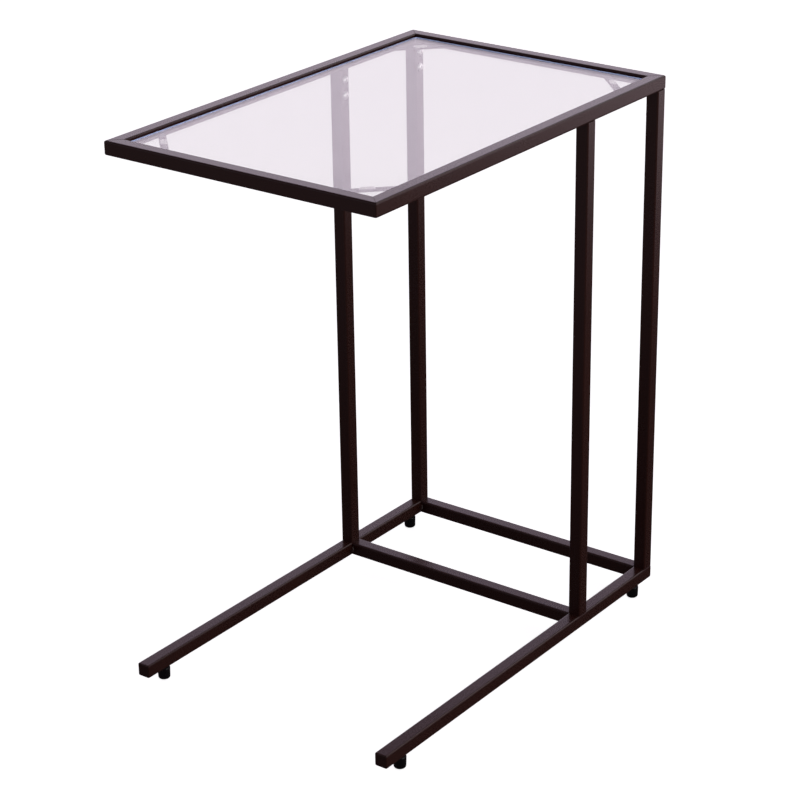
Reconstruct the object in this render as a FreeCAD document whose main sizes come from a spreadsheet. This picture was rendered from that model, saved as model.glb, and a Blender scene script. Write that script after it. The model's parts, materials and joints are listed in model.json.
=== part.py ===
import FreeCAD, Part
import math
import os
import Sketcher
from FreeCAD import Placement, Rotation, Vector

# A C-shaped side table: a glass-topped frame of square steel tube, carried by four uprights near its
# rear end, over two floor runners that slide under a sofa or a bed.  Millimetres.
# X runs across the table, Y from the open front end to the rear end, Z up.  The origin is on the
# floor, at the centre of the table's plan.

DRIVING_SIZES = [
    ("table_width", 353, "across the two runners"),
    ("table_depth", 540, "from the open front end to the rear end"),
    ("table_height", 650, "floor to the top of the frame"),
    ("tube_size", 16, "square steel tube, outside"),
    ("tube_wall", 1.2, "steel tube, wall"),
    ("tube_corner", 2, "steel tube, outer corner radius"),
    ("end_plate", 1.5, "plate welded over each end of a runner"),
    ("end_plate_edge", 1.2, "radius ground round the end plate's outer face"),
    ("upright_spacing", 146, "front upright to rear upright, centre to centre"),
    ("glass_recess", 3, "frame's top down to the glass"),
    ("glass_thickness", 5, "tempered glass"),
    ("glass_gap", 1.5, "glass edge to the frame's inner wall"),
    ("glass_corner", 3, "glass, corner radius in plan"),
    ("glass_arris", 0.6, "glass, ground edge"),
    ("gusset_reach", 55, "inner corner to the middle of the gusset, along a rail"),
    ("gusset_width", 8, "flat steel strip"),
    ("gusset_thickness", 2, "flat steel strip"),
    ("bumper_length", 16, "clear bumper under the glass, along the gusset"),
    ("bumper_width", 7, "clear bumper, across the gusset"),
    ("bumper_thickness", 1.5, "clear bumper"),
    ("stub_length", 40, "spigot under the frame, inside an upright"),
    ("stub_wall", 2, "spigot tube, wall"),
    ("stub_play", 0.2, "spigot to the upright's inner wall, each side"),
    ("bolt_diameter", 5, "M5 button head bolt, thread"),
    ("bolt_length", 8, "M5 bolt, under its head"),
    ("bolt_head", 9.5, "M5 bolt, head diameter"),
    ("bolt_head_height", 2.75, "M5 bolt, head height"),
    ("bolt_head_rim", 0.6, "M5 bolt, straight rim of the head"),
    ("bolt_head_flat", 6, "M5 bolt, flat round the socket, diameter"),
    ("bolt_socket", 3, "M5 bolt, hexagon key across flats"),
    ("bolt_socket_depth", 1.8, "M5 bolt, hexagon socket"),
    ("bolt_hole_play", 0.25, "bolt to the hole it passes through, on the radius"),
    ("bolt_drop", 11.5, "upright's top down to the upper bolt"),
    ("bolt_pitch", 18.5, "upper bolt to lower bolt"),
    ("bolt_nut_width", 8, "M5 weld nut, across flats"),
    ("bolt_nut_height", 4, "M5 weld nut"),
    ("thread_play", 0.05, "a screw to its nut, on the radius"),
    ("foot_height", 16.5, "floor to the runners' underside"),
    ("foot_diameter", 14.6, "levelling foot, widest, under its shoulder"),
    ("foot_taper", 0.3, "levelling foot, narrower at the floor by this on the radius"),
    ("foot_shoulder", 1.8, "levelling foot, radius round the top of its drum"),
    ("foot_floor_edge", 2.8, "levelling foot, radius round its sole"),
    ("foot_collar", 9.5, "levelling foot, diameter of the collar that meets the runner"),
    ("foot_collar_height", 1.5, "levelling foot, collar above the drum"),
    ("foot_from_front", 34, "front end of a runner to the front foot's centre"),
    ("foot_from_rear", 30, "rear end of a runner to the rear foot's centre"),
    ("stud_diameter", 6, "M6 stud of a levelling foot"),
    ("stud_length", 24, "M6 stud, whole"),
    ("stud_in_foot", 11.5, "M6 stud, the part inside the foot"),
    ("stud_hole_play", 0.3, "M6 stud to the hole in the runner, on the radius"),
    ("foot_nut_width", 10, "M6 weld nut, across flats"),
    ("foot_nut_height", 5, "M6 weld nut"),
    ("weld_leg", 3, "weld bead, leg"),
    ("weld_length", 8, "weld bead in a corner of the base"),
]

# Sizes worked out from the driving ones, written as the sheet's own expressions.
FRAME_UNDERSIDE = "(dims.table_height - dims.tube_size)"
RUNNER_TOP = "(dims.foot_height + dims.tube_size)"
BETWEEN_RAILS = "(dims.table_width - 2 * dims.tube_size)"
TUBE_CENTRE_X = "(dims.table_width / 2 - dims.tube_size / 2)"
REAR_TUBE_Y = "(dims.table_depth / 2 - dims.tube_size / 2)"
FRONT_UPRIGHT_Y = "(" + REAR_TUBE_Y + " - dims.upright_spacing)"
GUSSET_TOP = ("(dims.table_height - dims.glass_recess - dims.glass_thickness"
              " - dims.bumper_thickness)")
STUB_SIZE = "(dims.tube_size - 2 * dims.tube_wall - 2 * dims.stub_play)"
STUB_CORNER = "(dims.stub_wall + 0.1 * dims.stub_wall)"

SIDES = {"left": -1, "right": 1}
ENDS = {"front": -1, "rear": 1}
UPRIGHT_Y = {"front": FRONT_UPRIGHT_Y, "rear": REAR_TUBE_Y}
FOOT_Y = {
    "front": "(-dims.table_depth / 2 + dims.foot_from_front)",
    "rear": "(dims.table_depth / 2 - dims.foot_from_rear)",
}
SLACK = 1.0  # how far a cutting tool reaches past the face it cuts through

doc = FreeCAD.newDocument("c_side_table")
dims = doc.addObject("Spreadsheet::Sheet", "dims")
for row, (alias, value, meaning) in enumerate(DRIVING_SIZES, start=1):
    dims.set("A%d" % row, alias)
    dims.set("B%d" % row, str(value))
    dims.set("C%d" % row, meaning)
    dims.setAlias("B%d" % row, alias)
doc.recompute()

sub_parts = []


def number(expression):
    """The value in millimetres of an expression of the sheet's cells."""
    return float(dims.evalExpression(expression))


def signed(sign, expression):
    """The expression, on the left or front side when the sign is negative."""
    return expression if sign > 0 else "-" + expression


def facing(x, y):
    """The turn about Z, in degrees, that brings a piece's local -Y round to a direction."""
    return math.degrees(math.atan2(x, -y))


def place(thing, x="0", y="0", z="0", turn=0):
    """Puts a sub-part at a point given by three expressions, turned about Z by degrees."""
    spot = Vector(number(x), number(y), number(z))
    thing.Placement = Placement(spot, Rotation(Vector(0, 0, 1), turn))
    for axis, expression in zip("xyz", (x, y, z)):
        thing.setExpression("Placement.Base." + axis, expression)


def new_body(label):
    body = doc.addObject("PartDesign::Body", label)
    body.Label = label
    sub_parts.append(body)
    return body


def sketch_on(body, role, name, height=None):
    """A sketch on one of the body's own origin planes, raised along its normal by an expression."""
    sketch = body.newObject("Sketcher::SketchObject", name)
    plane = next(p for p in body.Origin.OriginFeatures if p.Role == role)
    sketch.AttachmentSupport = (plane, [""])
    sketch.MapMode = "FlatFace"
    if height:
        sketch.setExpression("AttachmentOffset.Base.z", height)
    return sketch


def bind(sketch, constraint, name, expression):
    """Adds a dimension to a sketch and ties it to the sheet."""
    index = sketch.addConstraint(constraint)
    sketch.renameConstraint(index, name)
    sketch.setExpression("Constraints." + name, expression)


def draw_rounded_rectangle(sketch, wide, high, corner, prefix="outer"):
    """A rectangle with round corners about the sketch's origin, fully constrained."""
    half_wide, half_high, radius = number(wide) / 2, number(high) / 2, number(corner)
    first = sketch.GeometryCount
    corners = [(1, 1, 0), (-1, 1, 90), (-1, -1, 180), (1, -1, 270)]
    for sign_x, sign_y, start in corners:
        centre = Vector(sign_x * (half_wide - radius), sign_y * (half_high - radius), 0)
        circle = Part.Circle(centre, Vector(0, 0, 1), radius)
        arc = Part.ArcOfCircle(circle, math.radians(start), math.radians(start + 90))
        sketch.addGeometry(arc)
    for index in range(4):
        arc, following = sketch.Geometry[first + index], sketch.Geometry[first + (index + 1) % 4]
        sketch.addGeometry(Part.LineSegment(arc.EndPoint, following.StartPoint))
    for index in range(4):
        arc, line, following = first + index, first + 4 + index, first + (index + 1) % 4
        sketch.addConstraint(Sketcher.Constraint("Tangent", arc, 2, line, 1))
        sketch.addConstraint(Sketcher.Constraint("Tangent", line, 2, following, 1))
        lie = "Horizontal" if index % 2 == 0 else "Vertical"
        sketch.addConstraint(Sketcher.Constraint(lie, line))
    for index in range(1, 4):
        sketch.addConstraint(Sketcher.Constraint("Equal", first, first + index))
    top, left, bottom, right = (first + 4 + index for index in range(4))
    sketch.addConstraint(Sketcher.Constraint("Symmetric", top, 1, bottom, 1, -1, 1))
    bind(sketch, Sketcher.Constraint("Radius", first, radius), prefix + "_corner", corner)
    across = Sketcher.Constraint("DistanceX", left, 1, right, 2, 2 * half_wide)
    bind(sketch, across, prefix + "_wide", wide)
    up = Sketcher.Constraint("DistanceY", bottom, 1, top, 2, 2 * half_high)
    bind(sketch, up, prefix + "_high", high)


def draw_polygon(sketch, points):
    """A closed outline through points, each a pair of expressions measured from the origin."""
    spots = [Vector(number(x), number(y), 0) for x, y in points]
    first = sketch.GeometryCount
    count = len(spots)
    for index, spot in enumerate(spots):
        sketch.addGeometry(Part.LineSegment(spot, spots[(index + 1) % count]))
    for index, (x, y) in enumerate(points):
        line, following = first + index, first + (index + 1) % count
        sketch.addConstraint(Sketcher.Constraint("Coincident", line, 2, following, 1))
        across = Sketcher.Constraint("DistanceX", -1, 1, line, 1, spots[index].x)
        bind(sketch, across, "x%d" % line, x)
        up = Sketcher.Constraint("DistanceY", -1, 1, line, 1, spots[index].y)
        bind(sketch, up, "y%d" % line, y)


def draw_circle(sketch, x, y, radius):
    """A circle whose centre and radius are expressions."""
    centre = Vector(number(x), number(y), 0)
    circle = sketch.addGeometry(Part.Circle(centre, Vector(0, 0, 1), number(radius)))
    bind(sketch, Sketcher.Constraint("Radius", circle, number(radius)), "r%d" % circle, radius)
    across = Sketcher.Constraint("DistanceX", -1, 1, circle, 3, centre.x)
    bind(sketch, across, "x%d" % circle, x)
    up = Sketcher.Constraint("DistanceY", -1, 1, circle, 3, centre.y)
    bind(sketch, up, "y%d" % circle, y)


def draw_hollow_square(sketch, size, wall, corner):
    """The section of a square tube."""
    draw_rounded_rectangle(sketch, size, size, corner)
    hollow = "(%s - 2 * %s)" % (size, wall)
    inner_corner = "(%s - %s)" % (corner, wall)
    draw_rounded_rectangle(sketch, hollow, hollow, inner_corner, "inner")


def add_pad(body, sketch, length, symmetric=False, downwards=False):
    pad = body.newObject("PartDesign::Pad", "Pad")
    pad.Profile = sketch
    pad.SideType = "Symmetric" if symmetric else "One side"
    pad.Reversed = downwards
    pad.setExpression("Length", length)
    doc.recompute()
    return pad


def add_pocket(body, sketch, length=None, reverse=False):
    """Cuts the sketch through everything both ways, or to a length on one side of its plane."""
    volume = body.Shape.Volume
    pocket = body.newObject("PartDesign::Pocket", "Pocket")
    pocket.Profile = sketch
    if length is None:
        pocket.SideType = "Symmetric"
        pocket.Type = "ThroughAll"
    else:
        pocket.Type = "Length"
        pocket.Reversed = reverse
        pocket.setExpression("Length", length)
    doc.recompute()
    if not body.Shape.Volume < volume:
        raise RuntimeError(body.Label + ": a pocket cut nothing")
    return pocket


def edge_names(shape, wanted):
    """The names of the edges whose bounding box passes a test."""
    return ["Edge%d" % (index + 1) for index, edge in enumerate(shape.Edges)
            if wanted(edge.BoundBox)]


def finish_edges(body, kind, size_name, size, wanted):
    """A fillet or a chamfer on the edges that a test picks."""
    base = body.Tip
    feature = body.newObject("PartDesign::" + kind, kind)
    feature.Base = (base, edge_names(base.Shape, wanted))
    feature.setExpression(size_name, size)
    doc.recompute()
    return feature


# ---------------------------------------------------------------------------------------------------
# The top frame: four mitred rails, a flat gusset across each corner, a spigot over each upright


def make_top_rail(label, length, x, y, turn):
    """A square tube along local X, mitred at both ends; local -Y is the frame's outer side."""
    rail = new_body(label)
    section = sketch_on(rail, "YZ_Plane", "Section")
    draw_hollow_square(section, "dims.tube_size", "dims.tube_wall", "dims.tube_corner")
    add_pad(rail, section, length, symmetric=True)
    for name, sign in (("MitreA", "-"), ("MitreB", "")):
        mitre = sketch_on(rail, "XY_Plane", name)
        reach = "(%s / 2 + %g)" % (length, SLACK)
        inside = "(%s / 2 - dims.tube_size - %g)" % (length, SLACK)
        edge = "(dims.tube_size / 2 + %g)" % SLACK
        draw_polygon(mitre, [(sign + reach, "-" + edge), (sign + reach, edge), (sign + inside, edge)])
        add_pocket(rail, mitre)
    place(rail, x, y, FRAME_UNDERSIDE + " + dims.tube_size / 2", turn)


def make_gusset(label, x, y, turn):
    """A flat strip across a corner, its ends cut to the two inner walls.

    The local origin is the corner between the walls, which run from it at 45 degrees to local +Y.
    """
    gusset = new_body(label)
    outline = sketch_on(gusset, "XY_Plane", "Outline")
    near = "(dims.gusset_reach / sqrt(2) - dims.gusset_width / 2)"
    far = "(dims.gusset_reach / sqrt(2) + dims.gusset_width / 2)"
    draw_polygon(outline, [("-" + near, near), (near, near), (far, far), ("-" + far, far)])
    add_pad(gusset, outline, "dims.gusset_thickness", downwards=True)
    place(gusset, x, y, GUSSET_TOP, turn)


def make_bumper(label, x, y, turn):
    """A clear, round-ended strip stuck along the middle of a gusset, for the glass to lie on."""
    bumper = new_body(label)
    outline = sketch_on(bumper, "XY_Plane", "Outline")
    nearly_round = "(dims.bumper_width / 2 - 0.01)"
    draw_rounded_rectangle(outline, "dims.bumper_length", "dims.bumper_width", nearly_round)
    add_pad(bumper, outline, "dims.bumper_thickness")
    place(bumper, x, y, GUSSET_TOP, turn)


def make_stub(label, x, y, turn):
    """A short tube welded under a rail, which the upright slips over; local +X faces inwards."""
    stub = new_body(label)
    section = sketch_on(stub, "XY_Plane", "Section")
    draw_hollow_square(section, STUB_SIZE, "dims.stub_wall", STUB_CORNER)
    add_pad(stub, section, "dims.stub_length", downwards=True)
    drill_bolt_holes(stub, "-dims.bolt_drop", "-dims.bolt_drop - dims.bolt_pitch")
    place(stub, x, y, FRAME_UNDERSIDE, turn)


def drill_bolt_holes(body, upper, lower):
    """Two clearance holes through the wall on local +X, at two heights."""
    holes = sketch_on(body, "YZ_Plane", "BoltHoles")
    radius = "(dims.bolt_diameter / 2 + dims.bolt_hole_play)"
    draw_circle(holes, "0", upper, radius)
    draw_circle(holes, "0", lower, radius)
    add_pocket(body, holes, "dims.tube_size", reverse=True)


# ---------------------------------------------------------------------------------------------------
# The uprights, and the bolts and weld nuts that hold them to the spigots


def make_upright(label, x, y, turn):
    """A square tube from a runner to the frame, drilled for two bolts on local +X."""
    upright = new_body(label)
    section = sketch_on(upright, "XY_Plane", "Section")
    draw_hollow_square(section, "dims.tube_size", "dims.tube_wall", "dims.tube_corner")
    length = "(%s - %s)" % (FRAME_UNDERSIDE, RUNNER_TOP)
    add_pad(upright, section, length)
    upper = "(%s - dims.bolt_drop)" % length
    drill_bolt_holes(upright, upper, "(%s - dims.bolt_pitch)" % upper)
    place(upright, x, y, RUNNER_TOP, turn)


def primitive(kind, name, **sizes):
    """A Part primitive whose sizes are expressions."""
    thing = doc.addObject("Part::" + kind, name)
    for size, expression in sizes.items():
        thing.setExpression(size, expression)
    return thing


def combine(kind, name, base, tool):
    """A Part boolean of two objects."""
    result = doc.addObject("Part::" + kind, name)
    result.Base = base
    result.Tool = tool
    return result


def make_bolt_shape():
    """An M5 button head bolt on Z: its seat at the origin, its domed head upwards.

    The dome is part of the sphere through the rim's upper edge and the edge of the flat on top.
    """
    rim_radius, flat_radius = "(dims.bolt_head / 2)", "(dims.bolt_head_flat / 2)"
    sphere_height = ("((%s^2 + dims.bolt_head_rim^2 - %s^2 - dims.bolt_head_height^2)"
                     " / (2 * (dims.bolt_head_rim - dims.bolt_head_height)))" % (rim_radius, flat_radius))
    dome = primitive("Sphere", "Dome",
                     Radius="sqrt(%s^2 + (dims.bolt_head_rim - %s)^2)" % (rim_radius, sphere_height))
    dome.setExpression("Placement.Base.z", sphere_height)
    blank = primitive("Cylinder", "HeadBlank", Radius=rim_radius, Height="dims.bolt_head_height")
    head = combine("Common", "Head", dome, blank)
    shank = primitive("Cylinder", "Shank", Radius="dims.bolt_diameter / 2",
                      Height="dims.bolt_length")
    shank.setExpression("Placement.Base.z", "-dims.bolt_length")
    whole = combine("Fuse", "HeadAndShank", shank, head)
    socket = primitive("Prism", "Socket", Circumradius="dims.bolt_socket / 2 / cos(30)",
                       Height="dims.bolt_head_height")
    socket.setExpression("Placement.Base.z", "dims.bolt_head_height - dims.bolt_socket_depth")
    bolt = combine("Cut", "Bolt", whole, socket)
    doc.recompute()
    return bolt.Shape


def make_nut_shape(width, height, bore):
    """A hexagon nut on Z, standing on the origin."""
    hexagon = primitive("Prism", "Hexagon", Circumradius="%s / 2 / cos(30)" % width, Height=height)
    hole = primitive("Cylinder", "NutBore", Radius=bore, Height=height)
    nut = combine("Cut", "Nut", hexagon, hole)
    doc.recompute()
    return nut.Shape


def add_pair(label, shape, reach, turn, x, y):
    """Two copies of a shape lying along local X, at the two bolt heights, as one sub-part."""
    copies = []
    for drop in ("dims.bolt_drop", "dims.bolt_drop + dims.bolt_pitch"):
        copy = shape.copy()
        lie_along_x = Rotation(Vector(0, 1, 0), 90)
        copy.Placement = Placement(Vector(number(reach), 0, -number(drop)), lie_along_x)
        copies.append(copy)
    pair = doc.addObject("Part::Feature", label)
    pair.Label = label
    pair.Shape = Part.makeCompound(copies)
    place(pair, x, y, FRAME_UNDERSIDE, turn)
    sub_parts.append(pair)


# ---------------------------------------------------------------------------------------------------
# The base: two runners with closed ends, two crossbars between them


def make_runner(label, x):
    """A square tube along Y, with a hole in its underside for each levelling foot's stud."""
    runner = new_body(label)
    section = sketch_on(runner, "XZ_Plane", "Section")
    draw_hollow_square(section, "dims.tube_size", "dims.tube_wall", "dims.tube_corner")
    add_pad(runner, section, "dims.table_depth - 2 * dims.end_plate", symmetric=True)
    holes = sketch_on(runner, "XY_Plane", "StudHoles")
    for foot_y in FOOT_Y.values():
        draw_circle(holes, "0", foot_y, "dims.stud_diameter / 2 + dims.stud_hole_play")
    add_pocket(runner, holes, "dims.tube_size")
    place(runner, x, "0", "dims.foot_height + dims.tube_size / 2")


def make_end_plate(label, x, y, turn):
    """The plate that closes a runner's end, with the tube's own outline; local -Y faces outwards."""
    plate = new_body(label)
    outline = sketch_on(plate, "XZ_Plane", "Outline")
    draw_rounded_rectangle(outline, "dims.tube_size", "dims.tube_size", "dims.tube_corner")
    add_pad(plate, outline, "dims.end_plate", symmetric=True)
    outer_face = -number("dims.end_plate") / 2
    finish_edges(plate, "Fillet", "Radius", "dims.end_plate_edge",
                 lambda box: box.YMax < outer_face + 0.01)
    place(plate, x, y, "dims.foot_height + dims.tube_size / 2", turn)


def make_crossbar(label, y):
    """A square tube along X, butted between the runners."""
    bar = new_body(label)
    section = sketch_on(bar, "YZ_Plane", "Section")
    draw_hollow_square(section, "dims.tube_size", "dims.tube_wall", "dims.tube_corner")
    add_pad(bar, section, BETWEEN_RAILS, symmetric=True)
    place(bar, "0", y, "dims.foot_height + dims.tube_size / 2")


def make_weld_beads(label, corners):
    """Upright weld beads in the corners between crossbar and runners: quarters of a rod.

    Each corner is its x and y, and the signs of the free quarter that the bead faces.
    """
    leg, length = number("dims.weld_leg"), number("dims.weld_length")
    bottom = number("dims.foot_height + dims.tube_size / 2 - dims.weld_length / 2")
    beads = []
    for x, y, free_x, free_y in corners:
        bead = Part.makeCylinder(leg, length, Vector(0, 0, 0), Vector(0, 0, 1), 90)
        quarter_turn = math.degrees(math.atan2(free_y, free_x)) - 45
        bead.Placement = Placement(Vector(x, y, bottom), Rotation(Vector(0, 0, 1), quarter_turn))
        beads.append(bead)
    group = doc.addObject("Part::Feature", label)
    group.Label = label
    group.Shape = Part.makeCompound(beads)
    sub_parts.append(group)


# ---------------------------------------------------------------------------------------------------
# The levelling feet and the glass


def make_foot_nut(label, shape, x, y):
    """A weld nut inside a runner, over the stud's hole."""
    nut = doc.addObject("Part::Feature", label)
    nut.Label = label
    nut.Shape = shape
    place(nut, x, y, "dims.foot_height + dims.tube_wall")
    sub_parts.append(nut)


def make_foot_stud(label, x, y):
    """The steel stud that screws up into the runner; its lower end is held in the plastic foot."""
    stud = new_body(label)
    outline = sketch_on(stud, "XY_Plane", "Outline")
    draw_circle(outline, "0", "0", "dims.stud_diameter / 2")
    add_pad(stud, outline, "dims.stud_length")
    top = number("dims.stud_length")
    finish_edges(stud, "Chamfer", "Size", "dims.stud_diameter / 10", lambda box: box.ZMin > top - 0.01)
    place(stud, x, y, "dims.foot_height - dims.stud_in_foot")


def make_foot_pad(label, x, y):
    """The moulded foot: a slightly tapered drum under a low collar, with a blind bore on top."""
    pad = new_body(label)
    half = sketch_on(pad, "XZ_Plane", "HalfSection")
    bore = "(dims.stud_diameter / 2 + dims.thread_play)"
    bore_floor = "(dims.foot_height - dims.stud_in_foot)"
    sole = "(dims.foot_diameter / 2 - dims.foot_taper)"
    collar = "dims.foot_collar / 2"
    shoulder = "(dims.foot_height - dims.foot_collar_height)"
    draw_polygon(half, [("0", "0"), (sole, "0"), ("dims.foot_diameter / 2", shoulder),
                        (collar, shoulder), (collar, "dims.foot_height"),
                        (bore, "dims.foot_height"), (bore, bore_floor), ("0", bore_floor)])
    drum = pad.newObject("PartDesign::Revolution", "Drum")
    drum.Profile = half
    drum.ReferenceAxis = (half, ["V_Axis"])
    drum.Angle = 360
    doc.recompute()
    outside = number(collar) + SLACK
    height = number(shoulder)
    finish_edges(pad, "Fillet", "Radius", "dims.foot_shoulder",
                 lambda box: abs(box.ZMin - height) < 0.01 and box.XMax > outside)
    finish_edges(pad, "Fillet", "Radius", "dims.foot_floor_edge",
                 lambda box: box.ZMax < 0.01 and box.XMax > outside)
    place(pad, x, y)


def make_glass(label):
    """The tempered glass top, with small round corners and a ground arris all round."""
    glass = new_body(label)
    outline = sketch_on(glass, "XY_Plane", "Outline")
    wide = "(%s - 2 * dims.glass_gap)" % BETWEEN_RAILS
    deep = "(dims.table_depth - 2 * dims.tube_size - 2 * dims.glass_gap)"
    draw_rounded_rectangle(outline, wide, deep, "dims.glass_corner")
    add_pad(glass, outline, "dims.glass_thickness")
    finish_edges(glass, "Chamfer", "Size", "dims.glass_arris", lambda box: box.ZLength < 0.01)
    place(glass, "0", "0", GUSSET_TOP + " + dims.bumper_thickness")


# ---------------------------------------------------------------------------------------------------
# The table


make_top_rail("top_rail_front", "dims.table_width", "0", "-" + REAR_TUBE_Y, facing(0, -1))
make_top_rail("top_rail_rear", "dims.table_width", "0", REAR_TUBE_Y, facing(0, 1))
make_top_rail("top_rail_right", "dims.table_depth", TUBE_CENTRE_X, "0", facing(1, 0))
make_top_rail("top_rail_left", "dims.table_depth", "-" + TUBE_CENTRE_X, "0", facing(-1, 0))

corner_x = "(%s / 2)" % BETWEEN_RAILS
corner_y = "(dims.table_depth / 2 - dims.tube_size)"
middle_x = "(%s - dims.gusset_reach / 2)" % corner_x
middle_y = "(%s - dims.gusset_reach / 2)" % corner_y
for end, end_sign in ENDS.items():
    for side, side_sign in SIDES.items():
        name = "%s_%s" % (end, side)
        diagonal = facing(side_sign, end_sign)
        make_gusset("corner_gusset_" + name, signed(side_sign, corner_x),
                    signed(end_sign, corner_y), diagonal)
        make_bumper("glass_bumper_" + name, signed(side_sign, middle_x),
                    signed(end_sign, middle_y), diagonal)

bolt_shape = make_bolt_shape()
bolt_nut_shape = make_nut_shape("dims.bolt_nut_width", "dims.bolt_nut_height",
                                "dims.bolt_diameter / 2 + dims.thread_play")
foot_nut_shape = make_nut_shape("dims.foot_nut_width", "dims.foot_nut_height",
                                "dims.stud_diameter / 2 + dims.thread_play")
bolt_seat = "dims.tube_size / 2"
bolt_nut_seat = STUB_SIZE + " / 2 - dims.stub_wall - dims.bolt_nut_height"

for side, side_sign in SIDES.items():
    side_x = signed(side_sign, TUBE_CENTRE_X)
    inwards = facing(-side_sign, 0) - facing(1, 0)
    make_runner("runner_" + side, side_x)
    for end, end_sign in ENDS.items():
        name = "%s_%s" % (end, side)
        upright_y = UPRIGHT_Y[end]
        make_upright("upright_" + name, side_x, upright_y, inwards)
        make_stub("stub_" + name, side_x, upright_y, inwards)
        add_pair("stub_bolts_" + name, bolt_shape, bolt_seat, inwards, side_x, upright_y)
        add_pair("stub_nuts_" + name, bolt_nut_shape, bolt_nut_seat, inwards, side_x, upright_y)
        make_foot_nut("foot_nut_" + name, foot_nut_shape, side_x, FOOT_Y[end])
        make_foot_stud("foot_stud_" + name, side_x, FOOT_Y[end])
        make_foot_pad("foot_pad_" + name, side_x, FOOT_Y[end])
        plate_y = signed(end_sign, "(dims.table_depth / 2 - dims.end_plate / 2)")
        make_end_plate("runner_end_" + name, side_x, plate_y, facing(0, end_sign))

weld_x = number(corner_x)
half_tube = number("dims.tube_size / 2")
for end, free_ways in (("front", (-1, 1)), ("rear", (-1,))):
    make_crossbar("crossbar_" + end, UPRIGHT_Y[end])
    corners = [(side_sign * weld_x, number(UPRIGHT_Y[end]) + way * half_tube, -side_sign, way)
               for side_sign in SIDES.values() for way in free_ways]
    make_weld_beads("crossbar_welds_" + end, corners)

make_glass("glass_top")

# ---------------------------------------------------------------------------------------------------
# Tests, and the files

doc.recompute()
for thing in doc.Objects:
    if "Invalid" in thing.State or "Error" in thing.State:
        raise RuntimeError(thing.Label + " failed: " + str(thing.State))
for thing in sub_parts:
    if thing.Shape.isNull() or not thing.Shape.isValid() or not thing.Shape.Solids:
        raise RuntimeError(thing.Label + " has no valid solid")

os.makedirs("parts", exist_ok=True)
for thing in sub_parts:
    thing.Shape.exportStep(os.path.join("parts", thing.Label + ".step"))
    solids = thing.Shape.Solids
    volume = sum(solid.Volume for solid in solids)
    print("%-28s %d solid(s) %9.1f mm3" % (thing.Label, len(solids), volume))
print(len(sub_parts), "sub-parts")
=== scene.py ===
# %% [markdown]
# # A C-shaped side table of steel tube and glass
#
# The table is a mitred frame of square steel tube around a sheet of clear glass, held over a sofa
# by four uprights near one end, above two runners that slide under the seat.  Its measured solids
# come from the CAD model.  This lesson dresses them: each tube, weld, bolt and foot is worked out
# again as a smooth surface, in the place that the CAD model gives, and then gets its finish.

# %% Load the measured model
import json
import math

import bpy
import numpy as np
from mathutils import Matrix, Vector

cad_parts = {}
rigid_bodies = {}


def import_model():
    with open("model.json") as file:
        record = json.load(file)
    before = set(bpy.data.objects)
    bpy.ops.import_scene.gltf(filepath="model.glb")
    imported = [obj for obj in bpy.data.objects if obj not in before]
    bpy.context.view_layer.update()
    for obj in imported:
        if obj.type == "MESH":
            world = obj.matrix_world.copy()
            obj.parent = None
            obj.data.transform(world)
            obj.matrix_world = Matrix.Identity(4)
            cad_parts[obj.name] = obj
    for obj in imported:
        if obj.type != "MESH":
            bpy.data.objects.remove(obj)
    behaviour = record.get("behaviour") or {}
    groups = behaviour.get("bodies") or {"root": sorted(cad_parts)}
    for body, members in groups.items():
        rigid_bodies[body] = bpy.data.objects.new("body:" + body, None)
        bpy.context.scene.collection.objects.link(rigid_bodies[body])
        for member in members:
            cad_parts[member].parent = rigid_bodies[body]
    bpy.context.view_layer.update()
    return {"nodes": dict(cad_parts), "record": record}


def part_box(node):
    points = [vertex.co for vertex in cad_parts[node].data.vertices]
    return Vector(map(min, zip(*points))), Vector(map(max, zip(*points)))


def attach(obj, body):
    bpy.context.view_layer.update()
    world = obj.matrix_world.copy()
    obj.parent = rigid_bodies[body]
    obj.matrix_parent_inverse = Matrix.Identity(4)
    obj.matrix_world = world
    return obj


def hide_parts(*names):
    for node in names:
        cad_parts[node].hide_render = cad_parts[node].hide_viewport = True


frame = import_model()
MM = 0.001
ENDS = ("front", "rear")
SIDES = ("left", "right")
CORNERS = [(f"{end}_{side}", end_sign, side_sign)
           for end, end_sign in zip(ENDS, (-1, 1)) for side, side_sign in zip(SIDES, (-1, 1))]

# %% [markdown]
# ## Colours and nodes
#
# A colour is read off a sample as an sRGB hex value, but the shader adds light in linear numbers,
# so one function turns the one into the other.  A second small function adds a node to a material,
# with its settings and its links in one line.  The finishes share a few patterns of such nodes: a
# noise of real size, a colour or a roughness that follows it, and a fine relief.

# %% Helpers for materials
NOISE_SPAN = (0.3, 0.7)


def linear(hex_colour):
    """An sRGB hex colour as linear red, green, blue and alpha."""
    values = [int(hex_colour[i:i + 2], 16) / 255 for i in (1, 3, 5)]
    channels = [v / 12.92 if v <= 0.04045 else ((v + 0.055) / 1.055) ** 2.4 for v in values]
    return (*channels, 1.0)


def add_node(material, kind, settings=None, **inputs):
    """Adds a node; inputs are values or other nodes' outputs, and settings are its properties."""
    node = material.node_tree.nodes.new("ShaderNode" + kind)
    for name, value in (settings or {}).items():
        setattr(node, name, value)
    for name, value in inputs.items():
        socket = node.inputs[int(name[1:]) if name[1:].isdigit() else name.replace("_", " ")]
        if isinstance(value, bpy.types.NodeSocket):
            material.node_tree.links.new(value, socket)
        else:
            socket.default_value = value
    return node


def new_material(name):
    """A material with an empty node tree."""
    material = bpy.data.materials.new(name)
    material.use_nodes = True
    material.node_tree.nodes.clear()
    return material


def set_surface(material, shader):
    """Links a shader node to the material's output."""
    output = material.node_tree.nodes.new("ShaderNodeOutputMaterial")
    material.node_tree.links.new(shader.outputs[0], output.inputs["Surface"])


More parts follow.
